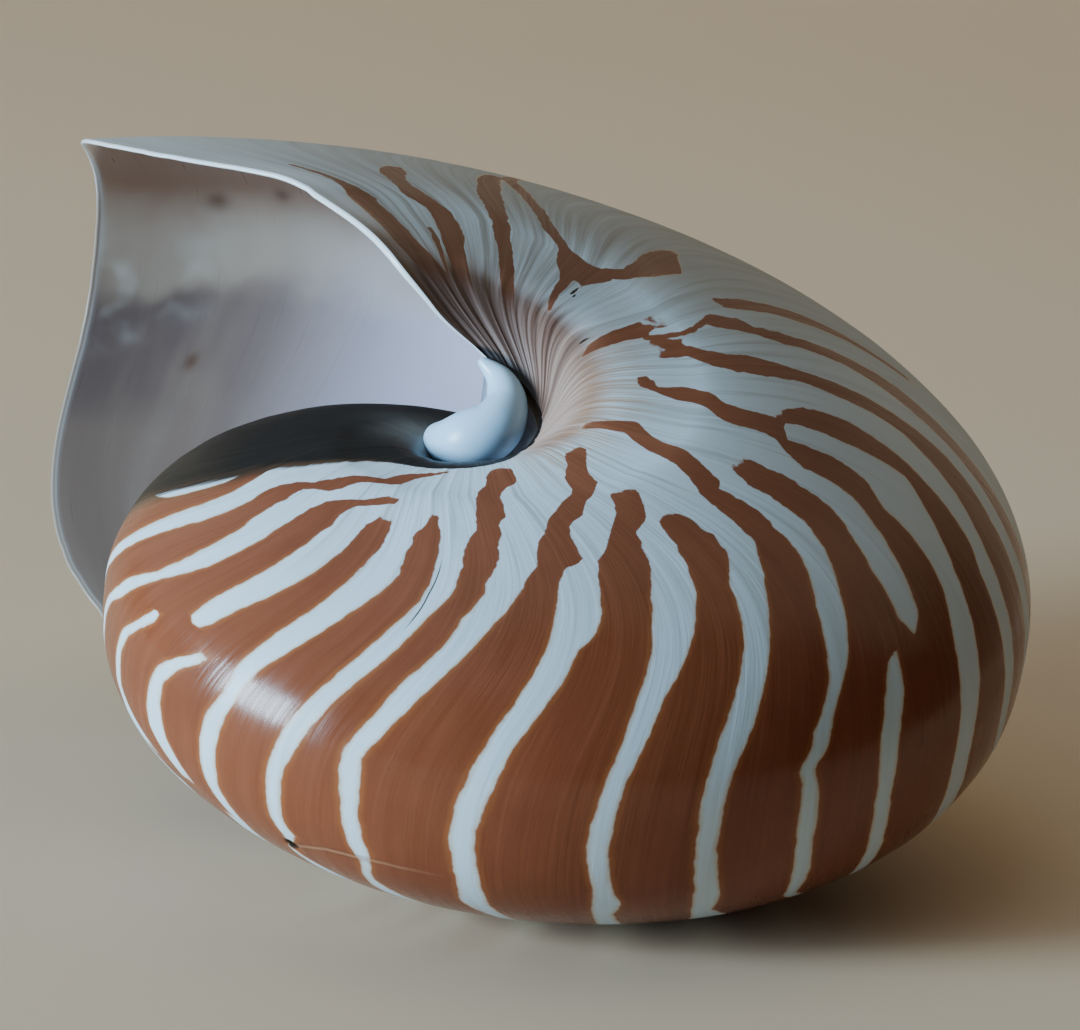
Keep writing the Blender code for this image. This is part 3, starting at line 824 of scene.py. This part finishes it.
def callus_swell(radius, span):
    """Radius x fullness x the height of a circle's arc, for a span from -1 to 1."""
    return radius * CALLUS_SWELL * np.sqrt(np.clip(1 - (CALLUS_TAPER * span) ** 2, 0, 1))


def running_length(across):
    """Length of the section's outline from the first angle to each: the sum of its small steps."""
    outline = smooth_coil(np.full_like(across, -1.0), across)
    return np.concatenate([[0], np.cumsum(np.linalg.norm(np.diff(outline, axis=0), axis=1))])


def section_places(count, low, high):
    """Angles across, evenly spaced along the section's outline: inverse of its running length."""
    fine = np.linspace(low, high, 3001)
    length = running_length(fine)
    places = np.interp(np.linspace(0, length[-1], count), length, fine)
    places[0], places[-1] = low, high
    return places


def outline_length(across):
    """Running length of the section from the outer rim, in shares of the coil's radius."""
    fine = np.linspace(-math.pi, math.pi, 3001)
    length = running_length(fine) / coil_radius(-1.0)
    return np.interp(across, fine, length) - np.interp(0.0, fine, length)


print("callus path of", len(CALLUS_PATH), "points")

# %% [markdown]
# ## Where the small marks are
#
# Pits are round bells placed on the growth chart. The painted shade in the crease beside the callus comes
# from the distance to its skin. The two calluses mirror each other, so points below the coil's plane are
# measured as if above it.

# %% Pits, spots and the crease
OUTSIDE_PITS = (  # growth, degree across, and the widths in millimetres along and across
    (CHIP_GROWTH, CHIP_DEGREE, 0.8, 0.8),
    (-1.150, 95.2, 0.6, 0.9),
    (-1.175, 96.8, 0.4, 0.7),
    (-1.515, 108.6, 0.5, 1.4),
)


def distance(points, spot):
    """Distance in metres to a spot, with the points folded to the near side of the coil's plane."""
    folded = points * (1, 1, 0) + np.abs(points) * (0, 0, 1)
    return np.linalg.norm(folded - spot, axis=-1)


def near_seal(points):
    """Millimetres from the callus's skin: the least of (distance to a spot of its path - its swell there)."""
    span = np.linspace(-1, 1, 40)
    line = smooth_path(CALLUS_PATH, (span * 0.5 + 0.5) * (len(CALLUS_PATH) - 1))
    swell = callus_swell(line[:, 3], span)
    away = [distance(points, spot) - size for spot, size in zip(line[:, :3], swell)]
    return np.clip(np.min(away, axis=0) * 1000, -5, FAR_AWAY)


def near_spot(growth, across, size, spots):
    """Sum of round bells: each 1 at its growth and degree, with a width in millimetres along and across."""
    total = np.zeros(growth.shape)
    for when, degree, along, sideways in spots:
        length = along_growth(growth - when, size) / along
        breadth = across_section(np.degrees(across) - degree, size) / sideways
        total += np.exp(-(length**2) - breadth**2)
    return np.clip(total, 0, 1)


print(len(OUTSIDE_PITS), "pits")

# %% [markdown]
# ## The values that the outside carries
#
# Most values are soft windows on the chart: they rise over one stretch of growth or of the section and fall
# over another.

# %% Values on the outside
HEALED_GROWTH = (-4.06, -3.95, -3.83, -3.656, -3.5)
HEALED_DEGREE = (-18.2, -13.0, -11.2, -10.5, -10.2)


def outside_values(g, a, points):
    """Every value that the outside's material reads, at growth g and angle a across the section."""
    size = coil_radius(g)
    flank = np.degrees(a)
    degrees = np.abs(flank)
    to_crack = along_growth(g + 4.015 + 0.012 * wander(flank, 5, 11), size)
    to_healed = across_section(flank - np.interp(g, HEALED_GROWTH, HEALED_DEGREE), size)
    settled = 1 - ease(-4.5, -3.5, g)
    return {
        "stripe": stripe_depth(g, a, size),
        "film": film_depth(g, a, size),
        "funnel": ease(97, 114, degrees) * ease(-3.6, -2.9, g),
        # mouthward: the funnel beside the mouth, where painted shade lies between the pleats over their own
        # dark brown
        "mouthward": 0.92 * ease(97, 116, degrees + 14 * ease(-0.30, -0.12, g)) * ease(-1.25, -0.8, g),
        "rosy": ease(98, 112, degrees) * ease(-2.0, -1.3, g),
        "deep": ease(108, 128, degrees),
        "smoke": np.exp(-((distance(points, CALLUS_PATH[-1, :3]) / 0.0056) ** 2)),
        "fan": window(degrees, (88, 97), (112, 128)) * window(g, (-3.6, -3.1), (-1.7, -1.3)),
        "ripe": (1 - ease(55, 85, degrees)) * ease(-3.1, -2.2, g),
        "crest": (1 - ease(58, 84, degrees)) * ease(-2.1, -1.3, g) * (1 - 0.55 * ease(-0.55, -0.15, g)),
        # near_mouth_flank: the upper flank by the mouth, where the whites grey and the stripes' edges roughen
        "near_mouth_flank": window(degrees, (52, 74), (100, 112)) * window(g, (-1.45, -1.1), (-0.2, -0.08)),
        "upper": window(degrees, (38, 70), (96, 108)) * (1 - ease(-1.6, -1.2, g)),
        "seal": near_seal(points) + FAR_AWAY * settled,
        "scar_way": np.where(flank > 36, to_crack, to_healed),
        "crack": window(flank, (39, 44), (55, 60)),
        "healed": (flank < 0) * window(g, (-4.08, -4.05), (-3.9, -3.62)),
        "pits": near_spot(g, a, size, OUTSIDE_PITS),
    }


# %% Outside pieces
HALF_COLUMNS = 112


def outside_half(name, low, high):
    """One flank: the coil's surface on a growth x section grid, with values, chart and normals."""
    chamber_floor = np.linspace(-TURN - CHAMBER_DEPTH, -TURN, 61)[:-1]
    growth = np.concatenate([chamber_floor, np.linspace(-TURN, 0, 800)])
    g, a = np.meshgrid(growth, section_places(HALF_COLUMNS, low, high), indexing="ij")
    points = coil(g, a)
    chart = np.stack([g, outline_length(a)], -1)
    make_piece(name, [(points, True)], outside, outside_values(g, a, points), chart, outwards(g, a, coil))


outside_half("outside_near_flank", 0.0, math.pi)
outside_half("outside_far_flank", -math.pi, 0.0)

# %% [markdown]
# ## The lip and the lining
#
# The wall is thin at the lip and twice as thick further in. The lining is the outside moved inwards along its
# own normal by that thickness, and the lip's rounded edge is a half circle between the two. The same mesh
# also carries the concave end wall and the two strips that close the chamber beside the umbilicus.

# %% The wall's thickness and the lip
RIM_THICKNESS, THICKENING = 0.0013, 0.0010  # metres just inside the lip, and what comes on further in
THICKENING_ANGLE = 1.2  # the wall is at its full thickness this far inside the mouth
LIP_BULGE = 0.0005


def wall_thickness(growth, across):
    """Rim thickness + an even thickening inwards - a sharpening that dies away just behind the lip.

    The very lip is 0.55 mm thick at the outer rim and 0.9 mm beside the umbilicus.
    """
    sharpened = 0.00075 - 0.00035 * bell(np.degrees(np.abs(across)), 112, 30)
    thickened = THICKENING * np.clip(-growth / THICKENING_ANGLE, 0, 1)
    return RIM_THICKNESS + thickened - sharpened * np.exp(growth / 0.08)


def lining(growth, across):
    """The outside less the wall's thickness along the normal."""
    inwards = outwards(growth, across, smooth_coil) * wall_thickness(growth, across)[..., None]
    return coil(growth, across) - inwards


def rounded_lip(across, rows):
    """Half circle from the outside's edge to the lining's edge, bulging towards the mouth."""
    start, end = coil(np.zeros_like(across), across), lining(np.zeros_like(across), across)
    turn = rim_lead(across)
    forward = np.stack([-np.sin(turn), np.cos(turn), 0 * turn], -1) * LIP_BULGE * np.cos(across[:, None] / 2)
    angle = np.linspace(0, math.pi, rows)[:, None, None]
    return (start + end) / 2 + (start - end) / 2 * np.cos(angle) + forward * np.sin(angle)


def between(first, second, rows):
    """Straight blend of two lines of points, row by row."""
    share = np.linspace(0, 1, rows)[:, None, None]
    return first[None] * (1 - share) + second[None] * share


print("wall, in metres:", wall_thickness(np.array([0.0, -0.4, -2.0]), np.zeros(3)).round(5))

# %% Lining, end wall and side strips
SEPTUM_HOLLOW, SEPTUM_ROWS = 0.010, 40  # how far the end wall bows away from the mouth
places = section_places(300, -math.pi, math.pi)
depth = -np.concatenate([np.linspace(0, 0.4, 80)[:-1], np.linspace(0.4, CHAMBER_DEPTH, 160)])
g, a = np.meshgrid(depth, places, indexing="ij")
wall = lining(g, a)
lip = rounded_lip(places, 7)
back = rim_lead(places) - CHAMBER_DEPTH
backward = np.stack([np.sin(back), -np.cos(back), 0 * back], -1) * np.cos(places[:, None] / 2) ** 2
septum = between(wall[-1], coil(np.full_like(places, -TURN - CHAMBER_DEPTH), places), SEPTUM_ROWS)
septum += backward[None] * SEPTUM_HOLLOW * np.sin(np.linspace(0, math.pi, SEPTUM_ROWS))[:, None, None]
grids = [(lip, False), (wall, False), (septum, False)]
for side in (0, -1):
    seam = coil(depth - TURN, np.full_like(depth, places[side]))
    grids.append((between(wall[:, side], seam, 8), side == 0))
counts = [points.shape[0] * points.shape[1] for points, _ in grids]
print("grids of", counts, "points")

# %% Values on the lining, and the piece
LINING_SPOTS = ((-0.164, 9.0, 1.5, 1.3), (-0.259, 11.9, 0.9, 1.0), (-0.168, -18.4, 0.9, 0.9))
degrees = np.degrees(a)
spots = near_spot(g, a, coil_radius(g), LINING_SPOTS)
beyond = np.zeros(sum(counts[2:]))
lip_turns = np.repeat(np.degrees(places)[None], len(lip), axis=0).ravel()
values = {
    "rim": np.concatenate([np.ones(counts[0]), (1 - ease(0.001, 0.006, -g)).ravel(), beyond]),
    "across": np.concatenate([lip_turns, degrees.ravel(), beyond]),
    "inward": np.concatenate([np.zeros(counts[0]), -g.ravel(), beyond + CHAMBER_DEPTH]),
    "spots": np.concatenate([np.zeros(counts[0]), 0.8 * spots.ravel(), beyond]),
}
flat = []
for points, _ in grids:
    sides = [np.linspace(0, 1, count) for count in points.shape[:2]]
    flat.append(np.stack(np.meshgrid(*sides, indexing="ij"), -1))
flat[1] = np.stack([g, outline_length(a)], -1)
make_piece("chamber_lining", grids, pearl, values, np.concatenate([c.reshape(-1, 2) for c in flat]))

# %% [markdown]
# ## The callus
#
# Where the lip joins the coil, the animal sealed the umbilicus with a smooth white pad like poured porcelain.
# It is a bent drop: a curve through a few points, with a round section that swells and then closes at both
# ends. A tube along a path fits, since its ends can be drawn together into rounded poles.

# %% Callus pieces
CALLUS_RINGS, CALLUS_SIDES = 90, 60


def callus(name, side):
    """Rings round the path: centre + radius x (cos, sin), with the radius drawn to nothing at both ends."""
    share = np.linspace(-1, 1, CALLUS_RINGS)
    span = np.sin(share * math.pi / 2)
    line = smooth_path(CALLUS_PATH, (span * 0.5 + 0.5) * (len(CALLUS_PATH) - 1))
    centre, radius = line[:, :3] * (1, 1, side), line[:, 3]
    along = np.gradient(centre, axis=0)
    along /= np.linalg.norm(along, axis=1, keepdims=True)
    first = np.cross(along, (0, 0, 1))
    first /= np.linalg.norm(first, axis=1, keepdims=True)
    second = np.cross(along, first)
    close = np.sqrt(np.clip(1 - np.abs(share) ** 14, 0, 1))
    angle = np.linspace(0, TURN, CALLUS_SIDES + 1)[None, :, None]
    rings = first[:, None] * np.cos(angle) + second[:, None] * np.sin(angle)
    points = centre[:, None] + rings * (callus_swell(radius, span) * close)[:, None, None]
    make_piece(name, [(points, side < 0)], callus_white)


callus("callus_near", 1)
callus("callus_far", -1)

# %% [markdown]
# ## Floor, light and camera
#
# The shell stands on a pale sweep: a floor that curves up into a wall, so that there is no horizon. A soft
# window of cool light stands low on the left, and gives the bright patch on the lower left of the shell. A
# large weak lamp above the left side fills the shadows, and a warm lamp lights the wall behind. The camera is
# a long lens, a little above the shell.

# %% Floor sweep
FLOOR_FRONT, BEND_START, BEND = -1.6, 0.9, 0.6  # metres: its front edge, where it bends, the bend's radius
WALL_TOP, HALF_WIDTH = 3.0, 3
bend = np.linspace(0, math.pi / 2, 17)[1:]
level = np.linspace(FLOOR_FRONT, BEND_START, 12)
profile_y = np.concatenate([level, BEND_START + BEND * np.sin(bend), [BEND_START + BEND]])
profile_z = np.concatenate([0 * level, BEND - BEND * np.cos(bend), [WALL_TOP]])
depths, widths = np.meshgrid(profile_y, np.linspace(-HALF_WIDTH, HALF_WIDTH, 9), indexing="ij")
heights = np.repeat(profile_z[:, None], 9, axis=1)
sweep = np.stack([widths, depths, heights], -1)
mesh = bpy.data.meshes.new("floor")
mesh.from_pydata(sweep.reshape(-1, 3).tolist(), [], grid_quads(*sweep.shape[:2], 0, False).tolist())
mesh.polygons.foreach_set("use_smooth", np.ones(len(mesh.polygons), bool))
floor = add_object("floor", mesh)
paper, tree, surface = fresh_material("pale_paper")
tone = grain(node("TexCoord").outputs["Object"], (3, 3, 3), 2.0)
set_surface("Base Color", blend(tone, (0.70, 0.525, 0.36), (0.74, 0.565, 0.395)))
set_surface("Roughness", 0.8)
mesh.materials.append(paper)
print("floor of", len(mesh.polygons), "quads")


# %% Lights
def soft_light(name, place, target, size, power, colour):
    """A rectangular light at a place, turned so that its face looks at the target."""
    lamp = bpy.data.lights.new(name, "AREA")
    lamp.shape, lamp.size, lamp.size_y, lamp.energy, lamp.color = "RECTANGLE", *size, power, colour
    holder = add_object(name, lamp)
    way = np.array(target) - np.array(place)
    holder.rotation_euler = Vector(way).to_track_quat("-Z", "Y").to_euler()
    holder.location = place
    print(name, "light", power, "W")


soft_light("window", (-1.32, -0.62, 0.30), (0, 0, 0.03), (0.50, 0.55), 57, (0.57, 0.80, 1.0))
soft_light("top", (-0.9, 0.1, 1.3), (0, 0, 0), (2.4, 2.4), 9, (0.66, 0.86, 1.0))
soft_light("backdrop", (0.7, 0.75, 1.5), (0.5, 1.5, 0.3), (2.2, 1.6), 6, (1.0, 0.84, 0.58))
world = bpy.data.worlds.new("room")
bpy.context.scene.world = world
world.use_nodes = True
room = world.node_tree.nodes["Background"]
room.inputs["Color"].default_value = (0.62, 0.60, 0.56, 1.0)
room.inputs["Strength"].default_value = 0.06

# %% Camera
lens = bpy.data.cameras.new("camera")
lens.sensor_width, lens.lens = 36.0, 161.0
camera = add_object("camera", lens)
camera.location = (0.00235, -0.59156, 0.17583)
camera.rotation_euler = (math.radians(76.825), math.radians(-3.566), math.radians(0.791))
bpy.context.scene.camera = camera
print("camera of", lens.lens, "mm at", tuple(round(float(x), 4) for x in camera.location))
